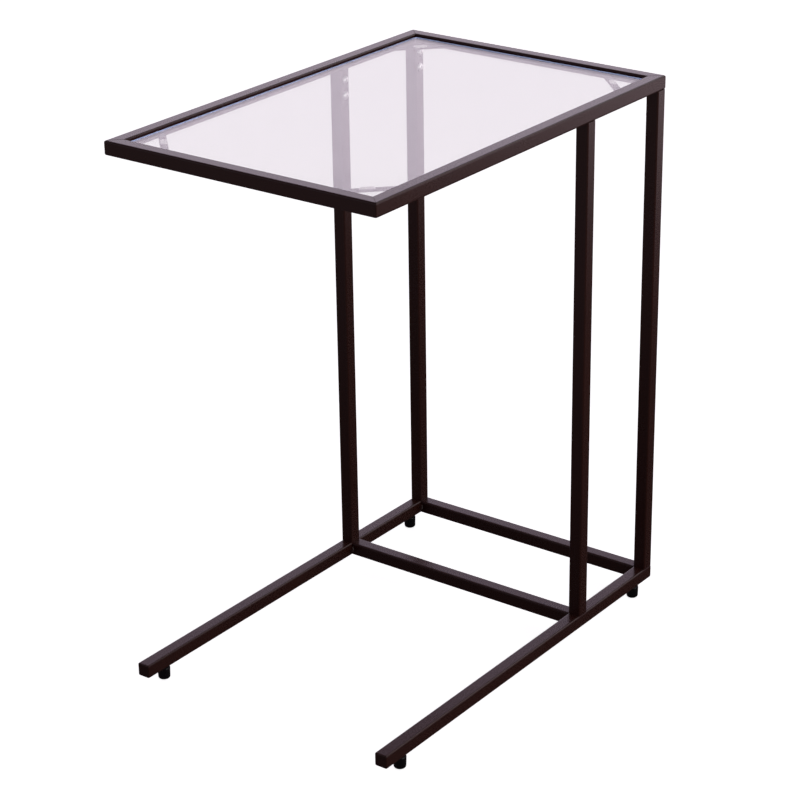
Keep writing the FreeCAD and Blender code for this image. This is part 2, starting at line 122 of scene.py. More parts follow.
def object_noise(material, size, detail, roughness=0.5):
    """Noise in the piece's own metres, with features about as large as size."""
    place = add_node(material, "TexCoord").outputs["Object"]
    noise = add_node(material, "TexNoise", Vector=place, Scale=1 / size, Detail=detail,
                     Roughness=roughness)
    return noise.outputs["Fac"]


def blend(material, factor, first, second):
    """The colour between two hex colours, at a factor from 0 to 1."""
    mix = add_node(material, "Mix", {"data_type": "RGBA"}, Factor=factor, _6=linear(first),
                   _7=linear(second))
    return mix.outputs[2]


def spread(material, noise, low, high):
    """Stretches the span that nearly all of a noise lies in over low to high."""
    value = add_node(material, "MapRange", Value=noise, From_Min=NOISE_SPAN[0],
                     From_Max=NOISE_SPAN[1], To_Min=low, To_Max=high)
    return value.outputs["Result"]


def arithmetic(material, operation, *values):
    """The result of one arithmetic node on two or three values."""
    inputs = {f"_{index}": value for index, value in enumerate(values)}
    return add_node(material, "Math", {"operation": operation}, **inputs).outputs["Value"]


def relief(material, height, strength, depth):
    """A surface normal that follows a height, whose step from 0 to 1 is depth metres."""
    bump = add_node(material, "Bump", Strength=strength, Distance=depth, Height=height)
    return bump.outputs["Normal"]


print("White paper in linear light:", [round(v, 3) for v in linear("#f2f2f0")[:3]])

# %% [markdown]
# ## Powder-coated steel
#
# The tubes are mild steel, blasted, sprayed with a dry espresso-coloured polyester powder and
# baked.  The powder melts into a skin about 0.08 mm thick that is never quite flat: it keeps a
# fine orange-peel swell, some 2 mm from crest to crest, and a grain of powder specks.  So the
# gloss is satin and slightly broken, and the colour stays even.  Noise in Object coordinates gives
# both, since the pieces' coordinates are real metres; the specks are drawn 0.6 mm apart, coarser
# than life, so that they show.

# %% Powder coat
COAT_COLOUR = "#4b261c"
COAT_DARKER = "#401f17"
COAT_GLOSS = (0.20, 0.32)
DRIFT_SIZE, PEEL_SIZE, SPECK_SIZE = 60 * MM, 2.2 * MM, 0.6 * MM
PEEL_OVER_SPECKS = 2.0


def powder_coat():
    """Satin espresso powder coat: peel and specks in relief, specks in gloss, a drift in colour."""
    coat = new_material("espresso_powder_coat_on_steel")
    drift = object_noise(coat, DRIFT_SIZE, 3.0)
    specks = object_noise(coat, SPECK_SIZE, 2.0, roughness=0.6)
    peel = object_noise(coat, PEEL_SIZE, 1.0)
    height = arithmetic(coat, "MULTIPLY_ADD", peel, PEEL_OVER_SPECKS, specks)
    surface = add_node(coat, "BsdfPrincipled", Metallic=0.0, IOR=1.58,
                       Base_Color=blend(coat, drift, COAT_DARKER, COAT_COLOUR),
                       Roughness=spread(coat, specks, *COAT_GLOSS),
                       Normal=relief(coat, height, 0.35, 0.02 * MM))
    set_surface(coat, surface)
    return coat


COAT = powder_coat()
print("Powder coat:", len(COAT.node_tree.nodes), "nodes")

# %% [markdown]
# ## Glass
#
# The top is 5 mm tempered float glass.  Its faces are fire-polished and perfectly smooth, so
# nothing roughens them; its edge is ground with a fine wheel, which leaves it frosted and bluish,
# because light runs a long way through the sheet before it comes out there.  So the sheet has two
# materials.  Rays that only carry light to something below the sheet pass it straight, which keeps
# that light even.  Where the satin coat mirrors the sheet, a painted shade turns it into a dim grey
# pane, so that the frame's inner walls stay nearly black.

# %% Glass and its ground edge
GLASS_TINT = "#f2f4f0"
# Painted shade: the dark grey tint that the sheet takes only in the satin coat's reflections.
PAINTED_SHADE_IN_SATIN = "#585d66"


def clear_glass():
    """Float glass: smooth, refracting, with a breath of grey-blue, and a painted shade where the
    coat mirrors it.
    """
    glass = new_material("clear_float_glass")
    wave = object_noise(glass, 120 * MM, 1.0)
    pane = add_node(glass, "BsdfPrincipled", Base_Color=linear(GLASS_TINT), Roughness=0.0, IOR=1.52,
                    Transmission_Weight=1.0, Normal=relief(glass, wave, 0.02, 0.1 * MM))
    path = add_node(glass, "LightPath").outputs
    lights = arithmetic(glass, "MAXIMUM", path["Is Shadow Ray"], path["Is Diffuse Ray"])
    satin = arithmetic(glass, "SUBTRACT", path["Is Glossy Ray"], path["Is Singular Ray"])
    straight = arithmetic(glass, "MAXIMUM", lights, satin)
    # Rays mirrored by the satin coat pass the sheet darkened by the painted shade; other passing
    # rays get the glass tint.
    clear = add_node(glass, "BsdfTransparent", Color=blend(glass, satin, GLASS_TINT, PAINTED_SHADE_IN_SATIN))
    surface = add_node(glass, "MixShader", _0=straight, _1=pane.outputs[0], _2=clear.outputs[0])
    set_surface(glass, surface)
    return glass


def ground_edge():
    """Wheel-ground glass: frosted, pale blue, with fine marks round the edge."""
    edge = new_material("ground_glass_edge")
    marks = object_noise(edge, 0.8 * MM, 3.0)
    surface = add_node(edge, "BsdfPrincipled", Base_Color=linear("#bfcafb"), IOR=1.52,
                       Transmission_Weight=0.15, Roughness=spread(edge, marks, 0.25, 0.5),
                       Normal=relief(edge, marks, 0.4, 0.02 * MM))
    set_surface(edge, surface)
    return edge


GLASS = clear_glass()
GLASS_EDGE = ground_edge()
print("Glass materials:", GLASS.name, GLASS_EDGE.name)

# %% [markdown]
# ## The small parts' materials
#
# The bolts, nuts and studs are steel with a bright zinc plating: a pale metal, finely clouded where
# the crystals of zinc differ.  The feet are injection-moulded black polyethylene with the fine
# sparked grain of their mould.  The bumpers under the glass are soft clear polyurethane, which
# looks milky beside the glass.

# %% Zinc, moulded plastic and polyurethane


def zinc_plate():
    """Bright zinc on steel: clouded roughness, a faint bluish yellow drift."""
    zinc = new_material("bright_zinc_plated_steel")
    clouds = object_noise(zinc, 1.5 * MM, 4.0)
    surface = add_node(zinc, "BsdfPrincipled", Metallic=1.0,
                       Base_Color=blend(zinc, clouds, "#e6e6ea", "#f4f2ee"),
                       Roughness=spread(zinc, clouds, 0.32, 0.45),
                       Normal=relief(zinc, clouds, 0.15, 0.02 * MM))
    set_surface(zinc, surface)
    return zinc


def moulded_plastic():
    """Black polyethylene from a spark-eroded mould: an even, fine matt grain."""
    plastic = new_material("black_moulded_polyethylene")
    grain = object_noise(plastic, 0.5 * MM, 3.0)
    surface = add_node(plastic, "BsdfPrincipled", IOR=1.51,
                       Base_Color=blend(plastic, grain, "#0b0a0b", "#161416"),
                       Roughness=spread(plastic, grain, 0.22, 0.34),
                       Normal=relief(plastic, grain, 0.3, 0.03 * MM))
    set_surface(plastic, surface)
    return plastic


def clear_polyurethane():
    """Soft clear polyurethane: milky, with a smooth but soft surface."""
    clear = new_material("clear_polyurethane_bumper")
    haze = object_noise(clear, 2.5 * MM, 2.0)
    surface = add_node(clear, "BsdfPrincipled", Base_Color=linear("#f4f0f2"), IOR=1.49,
                       Transmission_Weight=0.05, Roughness=spread(clear, haze, 0.15, 0.3),
                       Normal=relief(clear, haze, 0.2, 0.05 * MM))
    set_surface(clear, surface)
    return clear


ZINC = zinc_plate()
FOOT_PLASTIC = moulded_plastic()
BUMPER_PLASTIC = clear_polyurethane()
print("Small parts:", ZINC.name, FOOT_PLASTIC.name, BUMPER_PLASTIC.name)

# %% [markdown]
# ## Dress the CAD solids
#
# Every solid starts with the material of its slot.  Those that show just as they are, such as the
# corner gussets and the studs, need no more; the others are replaced below by smoother surfaces.

# %% Materials for the CAD nodes
SLOT_MATERIALS = {
    "powder_coat": COAT,
    "clear_glass": GLASS,
    "clear_bumper": BUMPER_PLASTIC,
    "zinc_steel": ZINC,
    "foot_plastic": FOOT_PLASTIC,
}

for part in frame["record"]["subparts"]:
    mesh = frame["nodes"][part["node"]].data
    mesh.materials.clear()
    mesh.materials.append(SLOT_MATERIALS[part["material_slot"]])

# %% [markdown]
# ## Surfaces from rings of points
#
# Nearly everything on this table is a section carried along a line: a tube, a bolt, a foot, the
# rim of the glass.  Each becomes a stack of rings with the same number of points, and one function
# joins the rings with four-sided faces and closes both ends.  Whole rings are worked out as numpy
# arrays.

# %% Join rings into a piece


def skin(rings):
    """Faces over a stack of closed rings.

    Point k of ring r joins point k + 1 and the same two of ring r + 1; the first ring and the last
    are each closed by one face.  With rings that run anticlockwise seen from the last one, every
    face points outwards.
    """
    count, around = rings.shape[:2]
    ring, point = np.meshgrid(np.arange(count - 1), np.arange(around), indexing="ij")
    after = (point + 1) % around
    quads = np.stack([ring * around + point, ring * around + after,
                      (ring + 1) * around + after, (ring + 1) * around + point], axis=-1)
    first = np.arange(around)[::-1]
    last = (count - 1) * around + np.arange(around)
    return [*quads.reshape(-1, 4).tolist(), first.tolist(), last.tolist()]


def make_piece(name, stacks, material, body, replaced=(), crease=32):
    """A piece from one or more stacks of rings, smooth up to a crease of so many degrees."""
    points, faces = [], []
    for rings in stacks:
        start = sum(len(p) for p in points)
        faces += [[start + index for index in face] for face in skin(rings)]
        points.append(rings.reshape(-1, 3))
    mesh = bpy.data.meshes.new(name)
    mesh.from_pydata(np.concatenate(points).tolist(), [], faces)
    mesh.polygons.foreach_set("use_smooth", np.ones(len(mesh.polygons), bool))
    mesh.set_sharp_from_angle(angle=math.radians(crease))
    mesh.materials.append(material)
    mesh.validate()
    piece = bpy.data.objects.new(name, mesh)
    bpy.context.scene.collection.objects.link(piece)
    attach(piece, body)
    if replaced:
        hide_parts(*replaced)
    return piece


print("A stack of 3 rings of 4 points has", len(skin(np.zeros((3, 4, 3)))), "faces")

# %% [markdown]
# ## The tube's section
#
# Square tube is rolled, so its corners are round, about 2 mm on a 16 mm tube, and they carry the
# thin highlights that draw the table's outline.  The outline below is one function of the angle.
# Each corner has one more point a little way along the flat on either side, which keeps the
# shading of the flat from bending towards the corner.

# %% Outline of a rounded rectangle
FLAT_MARGIN = 0.25 * MM


def rounded_rectangle(half_wide, half_high, radius, steps=7):
    """Points round a rectangle with round corners, anticlockwise, as an array of x and y.

    Corner q lies at angle q * 90 + 45 degrees.  Its arc turns from q * 90 to q * 90 + 90 degrees
    about the corner's centre, and before and after it a point slides along the flat.
    """
    quarter = np.arange(4)[:, None] * np.pi / 2
    arc = np.linspace(0, np.pi / 2, steps)
    turn = quarter + np.concatenate([arc[:1], arc, arc[-1:]])
    slide = np.concatenate([[-FLAT_MARGIN], np.zeros(steps), [FLAT_MARGIN]])
    centre_x = np.sign(np.cos(quarter + np.pi / 4)) * (half_wide - radius)
    centre_y = np.sign(np.sin(quarter + np.pi / 4)) * (half_high - radius)
    x = centre_x + radius * np.cos(turn) - slide * np.sin(turn)
    y = centre_y + radius * np.sin(turn) + slide * np.cos(turn)
    return np.stack([x.ravel(), y.ravel()], axis=-1)


TUBE_HALF = (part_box("upright_front_left")[1].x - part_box("upright_front_left")[0].x) / 2
TUBE_CORNER = 2.0 * MM
outline = rounded_rectangle(TUBE_HALF, TUBE_HALF, TUBE_CORNER)
print("Tube:", round(2 * TUBE_HALF / MM, 2), "mm square,", len(outline), "points round its section")

# %% [markdown]
# ## Tubes
#
# A sawn and deburred end has a tiny round edge, and where two such ends meet, the coat sinks into
# the groove: that is the fine dark line seen at each mitre and under the top frame.  So a tube
# here is a stack of outlines that draw in by a quarter circle at an eased end.  A mitre only
# slides each point along the tube by its distance from the outer face, so the same function makes
# every tube.

# %% A tube between two ends


def end_stations(ease, steps=4):
    """Distances from a tube's end, and how far its outline is drawn in there.

    On a quarter circle with angle a the distance is ease * (1 - sin a) and the draw-in is
    ease * (1 - cos a); one more outline just inside keeps the flats' shading flat.
    """
    if not ease:
        return np.array([0.0]), np.array([0.0])
    angle = np.linspace(np.pi / 2, 0, steps)
    distance = np.concatenate([ease * (1 - np.sin(angle)), [ease + FLAT_MARGIN]])
    inset = np.concatenate([ease * (1 - np.cos(angle)), [0.0]])
    return distance, inset


def tube_rings(middle, outward, along, half_length, eases, mitred=False):
    """Rings of a square tube whose section axes are outward and up = along x outward.

    The point with section coordinates a (outward) and b (up) at distance s along the tube lies at
    middle + a * outward + b * up + s * along.  A mitre moves it inwards by TUBE_HALF - a.
    """
    outward, along = np.asarray(outward, float), np.asarray(along, float)
    up = np.cross(along, outward)
    start_distance, start_inset = end_stations(eases[0])
    end_distance, end_inset = end_stations(eases[1])
    place = np.concatenate([start_distance - half_length, half_length - end_distance[::-1]])
    inset = np.concatenate([start_inset, end_inset[::-1]])
    sign = np.where(place < 0, 1.0, -1.0)
    section = np.array([rounded_rectangle(TUBE_HALF - i, TUBE_HALF - i, TUBE_CORNER - i)
                        for i in inset])
    a, b = section[..., 0:1], section[..., 1:2]
    slip = sign[:, None, None] * (TUBE_HALF - a) if mitred else 0.0
    return np.asarray(middle) + a * outward + b * up + (place[:, None, None] + slip) * along


def centre_and_size(*nodes):
    """Centre and size of the box around some CAD nodes."""
    boxes = [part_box(node) for node in nodes]
    low = np.min([np.array(box[0]) for box in boxes], axis=0)
    high = np.max([np.array(box[1]) for box in boxes], axis=0)
    return (low + high) / 2, high - low


MITRE_EASE = 0.7 * MM
RAILS = {
    "front": ((0, -1, 0), (1, 0, 0)),
    "rear": ((0, 1, 0), (-1, 0, 0)),
    "left": ((-1, 0, 0), (0, -1, 0)),
    "right": ((1, 0, 0), (0, 1, 0)),
}
for rail, (outward, along) in RAILS.items():
    node = "top_rail_" + rail
    middle, size = centre_and_size(node)
    half_length = size @ np.abs(along) / 2
    rings = tube_rings(middle, outward, along, half_length, (MITRE_EASE, MITRE_EASE), mitred=True)
    make_piece("mitred_rail_" + rail, [rings], COAT, "frame", [node])
    print(node, "is", round(2 * half_length / MM, 1), "mm long,", len(rings), "rings")

# %% [markdown]
# ## Uprights, runners and crossbars
#
# The uprights slip over spigots under the frame and are bolted, so their tops keep an eased edge
# and a fine joint line.  At the floor they are welded down and the joint is filled and dressed, so
# those ends stay plain.  A runner's free ends are closed by a plate that is welded on and ground
# smooth, so plate and tube are one surface here, with a softer edge.  Crossbars end plainly
# against the runners.

# %% Straight tubes
JOINT_EASE = 0.35 * MM
CLOSED_END_EASE = 1.4 * MM

for end in ENDS:
    for side in SIDES:
        node = f"upright_{end}_{side}"
        middle, size = centre_and_size(node)
        rings = tube_rings(middle, (1, 0, 0), (0, 0, 1), size[2] / 2, (0, JOINT_EASE))
        make_piece(f"bolted_upright_{end}_{side}", [rings], COAT, "frame", [node])
    node = "crossbar_" + end
    middle, size = centre_and_size(node)
    rings = tube_rings(middle, (0, 1, 0), (1, 0, 0), size[0] / 2, (0, 0))
    make_piece("welded_crossbar_" + end, [rings], COAT, "frame", [node])

for side in SIDES:
    nodes = ["runner_" + side, "runner_end_front_" + side, "runner_end_rear_" + side]
    middle, size = centre_and_size(*nodes)
    eases = (CLOSED_END_EASE, CLOSED_END_EASE)
    rings = tube_rings(middle, (1, 0, 0), (0, 1, 0), size[1] / 2, eases)
    make_piece("floor_runner_" + side, [rings], COAT, "frame", nodes)
    print("Runner", side, "is", round(size[1] / MM, 1), "mm long with both ends closed")

# %% [markdown]
# ## Weld beads
#
# A short bead of weld sits in each inner corner of the base.  The weld pool freezes in steps as
# the torch moves up, which leaves ripples about 1.2 mm apart under the coat.  The bead is a
# quarter of a rod whose radius swells and shrinks along its length: a cosine for the ripples times
# a blunt curve that nearly closes both ends.

# %% Rippled beads in the corners of the base
RIPPLE = 1.2 * MM
WELD_LEG, WELD_LENGTH = 3.0 * MM, 8.0 * MM
RIPPLE_SWELL, END_POWER, END_LEFT, BURIED = 0.05, 6, 0.0004, 0.15


def bead_rings(corner, toward_a, toward_b, along, radius, length, steps=33, arc_steps=9):
    """Rings of a quarter-round bead in the corner between two walls.

    At u from -1 to 1 its radius is

        radius * sqrt(1 - u^END_POWER) * (1 + RIPPLE_SWELL * cos(pi * length * u / RIPPLE)),

    where the root's content stops at END_LEFT, so that both ends stay open.  The arc turns from
    toward_a to toward_b, and a point BURIED radii behind both walls closes each ring.
    """
    toward_a, toward_b, along = (np.asarray(v, float) for v in (toward_a, toward_b, along))
    u = np.linspace(-1, 1, steps)
    swell = 1 + RIPPLE_SWELL * np.cos(np.pi * length * u / RIPPLE)
    reach = radius * np.sqrt(np.clip(1 - u ** END_POWER, END_LEFT, 1)) * swell
    turn = np.linspace(0, np.pi / 2, arc_steps)
    arc = np.cos(turn)[:, None] * toward_a + np.sin(turn)[:, None] * toward_b
    bury = -BURIED * radius * (toward_a + toward_b)
    ring = reach[:, None, None] * np.concatenate([arc, [[0, 0, 0]]])
    ring = ring + np.concatenate([np.zeros((arc_steps, 3)), [bury]])
    return np.asarray(corner, float) + ring + (u * length / 2)[:, None, None] * along


def crossbar_beads(end, ways):
    """The beads between one crossbar and both runners, on its front (-1) or rear (1) side."""
    middle, size = centre_and_size("crossbar_" + end)
    stacks = []
    for side_sign in (-1, 1):
        for way in ways:
            corner = middle + np.array([side_sign * size[0] / 2, way * size[1] / 2, 0.0])
            walls = [(-side_sign, 0, 0), (0, way, 0)]
            if side_sign * way > 0:
                walls.reverse()
            stacks.append(bead_rings(corner, *walls, (0, 0, 1), WELD_LEG, WELD_LENGTH))
    return stacks


make_piece("corner_welds_front", crossbar_beads("front", (-1, 1)), COAT, "frame",
           ["crossbar_welds_front"])
make_piece("corner_welds_rear", crossbar_beads("rear", (-1,)), COAT, "frame",
           ["crossbar_welds_rear"])
print("Ripples on each bead:", round(WELD_LENGTH / RIPPLE))

# %% [markdown]
# ## Fill under the uprights
#
# An upright stands flush with the runner's outer face, over the runner's round upper corner, and
# the welder fills the wedge that this leaves.  The fill stays a hair below the two faces, so a
# faint line shows along the foot of each upright.  Its section is the round corner below and a
# plane outside.

# %% Weld fill along the outer foot of each upright
FILL_DEPTH = 0.6 * MM


def fill_rings(upright_middle, upright_size, foot, side_sign, arc_steps=8):
    """Rings of the wedge between a runner's round corner and an upright's outer wall.

    The section follows the runner's corner arc from its top to its side, and comes back straight up
    a plane that is FILL_DEPTH inside the outer face.
    """
    outer = upright_middle[0] + side_sign * upright_size[0] / 2
    turn = np.linspace(np.pi / 2, 0, arc_steps)
    arc_x = outer + side_sign * (TUBE_CORNER * np.cos(turn) - TUBE_CORNER - FILL_DEPTH)
    arc_z = foot - TUBE_CORNER + TUBE_CORNER * np.sin(turn)
    x = np.concatenate([arc_x, [outer - side_sign * FILL_DEPTH]])
    z = np.concatenate([arc_z, [foot + FILL_DEPTH]])
    section = np.stack([x, np.zeros_like(x), z], axis=-1)
    half = upright_size[1] / 2 - TUBE_CORNER / 2
    reach = np.array([-half, half]) + upright_middle[1]
    if side_sign > 0:
        reach = reach[::-1]
    return section[None] + reach[:, None, None] * np.array([0.0, 1.0, 0.0])


fills = []
for corner, _, side_sign in CORNERS:
    middle, size = centre_and_size("upright_" + corner)
    fills.append(fill_rings(middle, size, middle[2] - size[2] / 2, side_sign))
make_piece("upright_foot_welds", fills, COAT, "frame", crease=50)
print("Weld fills:", len(fills))

# %% [markdown]
# ## Glass
#
# The sheet is cut 1.5 mm smaller than its opening all round, its corners are clipped to a small
# radius, and the edge is ground flat with a narrow arris above and below.  The rings follow the
# outline of the sheet, and the stack climbs from the lower face over the arris, the edge and the
# upper arris.

# %% The glass sheet
GLASS_CORNER, GLASS_ARRIS = 3.0 * MM, 0.6 * MM
LEVEL_NORMAL = 0.9


def sheet_rings(node, radius, arris):
    """Rings round a sheet: each is the sheet's outline drawn in by the arris at its two faces."""
    middle, size = centre_and_size(node)
    height = [0, 0, arris, size[2] - arris, size[2], size[2]]
    inset = [arris + FLAT_MARGIN, arris, 0, 0, arris, arris + FLAT_MARGIN]
    rings = []
    for level, draw_in in zip(height, inset):
        flat = rounded_rectangle(size[0] / 2 - draw_in, size[1] / 2 - draw_in, radius - draw_in)
        z = np.full((len(flat), 1), middle[2] - size[2] / 2 + level)
        rings.append(np.concatenate([flat + middle[:2], z], axis=1))
    return np.array(rings)


glass_rings = sheet_rings("glass_top", GLASS_CORNER, GLASS_ARRIS)
sheet = make_piece("glass_sheet", [glass_rings], GLASS, "glass", ["glass_top"])
sheet.data.materials.append(GLASS_EDGE)
face_tilt = np.empty(len(sheet.data.polygons) * 3)
sheet.data.polygons.foreach_get("normal", face_tilt)
is_edge = (np.abs(face_tilt.reshape(-1, 3)[:, 2]) < LEVEL_NORMAL).astype(np.int32)
sheet.data.polygons.foreach_set("material_index", is_edge)
print("Glass:", len(is_edge), "faces, of which", int(is_edge.sum()), "on the ground edge")

# %% [markdown]
# ## Bumpers
#
# Four clear strips with round ends lie on the gussets and keep the glass off the steel.  Each is
# cast in a shallow mould, so its upper rim is well rounded.  A film of air, drawn 0.1 mm thick,
# stays between bumper and glass, and keeps the glass mirroring there too.

# %% Clear bumpers on the gussets
BUMPER_HALF_LONG, BUMPER_HALF_WIDE, BUMPER_HIGH = 8.0 * MM, 3.5 * MM, 1.4 * MM
BUMPER_ROUND, BUMPER_END_FLAT = 0.8 * MM, 0.3 * MM


def bumper_rings(node, diagonal):
    """Rings up a strip with round ends whose long side lies at the angle diagonal to +X.

    Its upper rim is a quarter circle.
    """
    middle, size = centre_and_size(node)
    turn = np.linspace(0, np.pi / 2, 6)
    level = np.concatenate([[0], BUMPER_HIGH - BUMPER_ROUND * (1 - np.sin(turn))])
    inset = np.concatenate([[0], BUMPER_ROUND * (1 - np.cos(turn))])
    direction = np.array([math.cos(diagonal), math.sin(diagonal)])
    across = np.array([-direction[1], direction[0]])
    rings = []
    for height, draw_in in zip(level, inset):
        flat = rounded_rectangle(BUMPER_HALF_LONG - draw_in, BUMPER_HALF_WIDE - draw_in,
                                 BUMPER_HALF_WIDE - draw_in - BUMPER_END_FLAT)
        spot = flat[:, :1] * direction + flat[:, 1:] * across + middle[:2]
        z = np.full((len(flat), 1), middle[2] - size[2] / 2 + height)
        rings.append(np.concatenate([spot, z], axis=1))
    return np.array(rings)


for corner, end_sign, side_sign in CORNERS:
    node = "glass_bumper_" + corner
    rings = bumper_rings(node, -end_sign * side_sign * math.pi / 4)
    make_piece("clear_bumper_" + corner, [rings], BUMPER_PLASTIC, "frame", [node])
print("Bumpers: 4, each", BUMPER_HALF_LONG * 2 / MM, "mm long")

# %% [markdown]
# ## Gusset tacks
#
# Each gusset is held to the rails by a small tack of weld under both of its ends, which shows from
# below and, faintly, through the glass.

# %% Tacks under the gussets
TACK_RADIUS, TACK_LENGTH = 1.4 * MM, 7.0 * MM
STRIP_ALONG_WALL = 11.3 * MM
tacks = []
for corner, end_sign, side_sign in CORNERS:
    middle, size = centre_and_size("corner_gusset_" + corner)
    wall = middle + np.array([side_sign * size[0] / 2, end_sign * size[1] / 2, -size[2] / 2])
    far = size[0] - STRIP_ALONG_WALL / 2
    spots = [((wall[0], wall[1] - end_sign * far), (-side_sign, 0, 0), (0, 1, 0)),
             ((wall[0] - side_sign * far, wall[1]), (0, -end_sign, 0), (1, 0, 0))]
    for (x, y), off_wall, along in spots:
        first, second = off_wall, (0, 0, -1)
        if np.dot(np.cross(first, second), along) < 0:
            first, second = second, first
        tacks.append(bead_rings((x, y, wall[2]), first, second, along, TACK_RADIUS, TACK_LENGTH))
make_piece("gusset_tacks", tacks, COAT, "frame")
print("Tacks:", len(tacks))

# %% [markdown]
# ## Bolts
#
# A button-head bolt is a turned shape with a hexagon pressed into its dome.  Both are rings round
# one axis: a ring's radius is constant on the turned part, and on the socket it is the distance to
# a hexagon's side, apothem / cos(angle from the middle of the side).  Going from the last round
# ring to the first hexagonal one makes the flat rim of the socket by itself.

# %% Button-head bolts
BOLT_RADIUS, HEAD_RADIUS, HEAD_HEIGHT, HEAD_RIM = 2.5 * MM, 4.75 * MM, 2.75 * MM, 0.6 * MM
HEAD_FLAT, SOCKET_APOTHEM, SOCKET_DEPTH, SHANK_LENGTH = 2.3 * MM, 1.5 * MM, 1.8 * MM, 8.0 * MM
TIP_CHAMFER, SOCKET_LEAD, RIM_EASE = 0.4 * MM, 0.12 * MM, 0.15 * MM
SOCKET_POINT = 0.3 * MM


def bolt_rings(seat, outward, around=60):
    """Rings of a bolt whose head points along outward from its seat.

    Heights and radii run up the shank, across the seat, up the rim, over the dome, which is the
    part of a sphere between rim and flat, and down into the hexagonal socket.
    """
    sphere = (HEAD_RADIUS ** 2 + HEAD_RIM ** 2 - HEAD_FLAT ** 2 - HEAD_HEIGHT ** 2) / (
        2 * (HEAD_RIM - HEAD_HEIGHT))
    dome_height = np.linspace(HEAD_RIM, HEAD_HEIGHT, 9)
    dome_radius = np.sqrt(HEAD_RADIUS ** 2 + (HEAD_RIM - sphere) ** 2 - (dome_height - sphere) ** 2)
    shank = [(-SHANK_LENGTH, BOLT_RADIUS - TIP_CHAMFER), (-SHANK_LENGTH + TIP_CHAMFER, BOLT_RADIUS),
             (0, BOLT_RADIUS)]
    rim = [(0, HEAD_RADIUS - RIM_EASE), (RIM_EASE, HEAD_RADIUS)]
    socket_floor = HEAD_HEIGHT - SOCKET_DEPTH
    socket = [(HEAD_HEIGHT, SOCKET_APOTHEM + SOCKET_LEAD),
              (HEAD_HEIGHT - SOCKET_LEAD, SOCKET_APOTHEM),
              (socket_floor, SOCKET_APOTHEM), (socket_floor - SOCKET_POINT, SOCKET_POINT)]
    turned = np.array(shank + rim + list(zip(dome_height, dome_radius)))
    profile = np.concatenate([turned, np.array(socket)])
    angle = np.linspace(0, 2 * np.pi, around, endpoint=False)
    to_side = 1 / np.cos((angle + np.pi / 6) % (np.pi / 3) - np.pi / 6)
    is_hexagon = (np.arange(len(profile)) >= len(turned))[:, None]
    radius = profile[:, 1:2] * np.where(is_hexagon, to_side[None, :], 1.0)
    outward = np.asarray(outward, float)
    across = np.array([0.0, 0.0, 1.0])
    third = np.cross(outward, across)
    ring = radius[..., None] * (np.cos(angle)[:, None] * across + np.sin(angle)[:, None] * third)
    return np.asarray(seat) + ring + profile[:, 0][:, None, None] * outward


BOLT_DROPS = (11.5 * MM, 30.0 * MM)
for corner, _, side_sign in CORNERS:
    middle, size = centre_and_size("upright_" + corner)
    top = middle[2] + size[2] / 2
    seat_x = middle[0] - side_sign * size[0] / 2
    stacks = [bolt_rings((seat_x, middle[1], top - drop), (-side_sign, 0, 0))
              for drop in BOLT_DROPS]
    make_piece("button_head_bolts_" + corner, stacks, ZINC, "frame", ["stub_bolts_" + corner],
               crease=40)
print("Bolts: 8, heads", 2 * HEAD_RADIUS / MM, "mm across")

# %% [markdown]
# ## Feet
#
# Each foot is turned in shape: a drum that narrows a little towards the floor, so that it comes
# out of its mould, with a soft shoulder and a softer sole, under a low collar that meets the
# runner.  Its profile is a half section carried round the axis of its stud.  It rides on its own
# body, because it screws down to level the table.

# %% Moulded feet
FOOT_WIDEST, FOOT_TAPER, FOOT_EDGE, FOOT_SHOULDER = 7.3 * MM, 0.3 * MM, 2.8 * MM, 1.8 * MM
COLLAR_RADIUS, COLLAR_HEIGHT, COLLAR_EASE = 4.75 * MM, 1.5 * MM, 0.2 * MM
SOLE_CAP, COLLAR_CAP = 1.0 * MM, 3.1 * MM


def foot_rings(node, around=64):
    """Rings of a foot: sole edge, tapered side, shoulder and collar; arcs are quarter circles."""
    middle, size = centre_and_size(node)
    floor, top = middle[2] - size[2] / 2, middle[2] + size[2] / 2
    drum_top = top - COLLAR_HEIGHT
    turn = np.linspace(0, np.pi / 2, 8)
    sole_radius = FOOT_WIDEST - FOOT_TAPER - FOOT_EDGE + FOOT_EDGE * np.sin(turn)
    sole_height = floor + FOOT_EDGE - FOOT_EDGE * np.cos(turn)
    shoulder_radius = FOOT_WIDEST - FOOT_SHOULDER + FOOT_SHOULDER * np.cos(turn)
    shoulder_height = drum_top - FOOT_SHOULDER + FOOT_SHOULDER * np.sin(turn)
    collar = [(COLLAR_RADIUS, drum_top), (COLLAR_RADIUS, top - COLLAR_EASE),
              (COLLAR_RADIUS - COLLAR_EASE, top), (COLLAR_CAP, top)]
    radius = np.concatenate([[SOLE_CAP], sole_radius, shoulder_radius, [r for r, _ in collar]])
    height = np.concatenate([[floor], sole_height, shoulder_height, [z for _, z in collar]])
    angle = np.linspace(0, 2 * np.pi, around, endpoint=False)
    x = middle[0] + radius[:, None] * np.cos(angle)
    y = middle[1] + radius[:, None] * np.sin(angle)
    z = np.repeat(height[:, None], around, axis=1)
    return np.stack([x, y, z], axis=-1)


for corner, _, _ in CORNERS:
    node = "foot_pad_" + corner
    make_piece("moulded_foot_" + corner, [foot_rings(node)], FOOT_PLASTIC, "foot_" + corner, [node])
print("Feet: 4")

# %% [markdown]
# ## The floor
#
# Dark, shiny tube is drawn by what it mirrors.  A studio sets it on white paper that sweeps up
# behind it and lights the sweep, not the table: every top face then mirrors the bright sweep, the
# long right faces mirror the paper as it brightens towards the back, and the faces towards the
# camera mirror the dim front of the room and stay deep.
#
# The paper is shown to the camera as plain white.  Through the glass it is an even pale grey, and
# in reflections it brightens towards the back.

# %% Floor
FLOOR_HALF = 12.0
THROUGH_GLASS, PAPER_GLOW = 0.67, 0.9


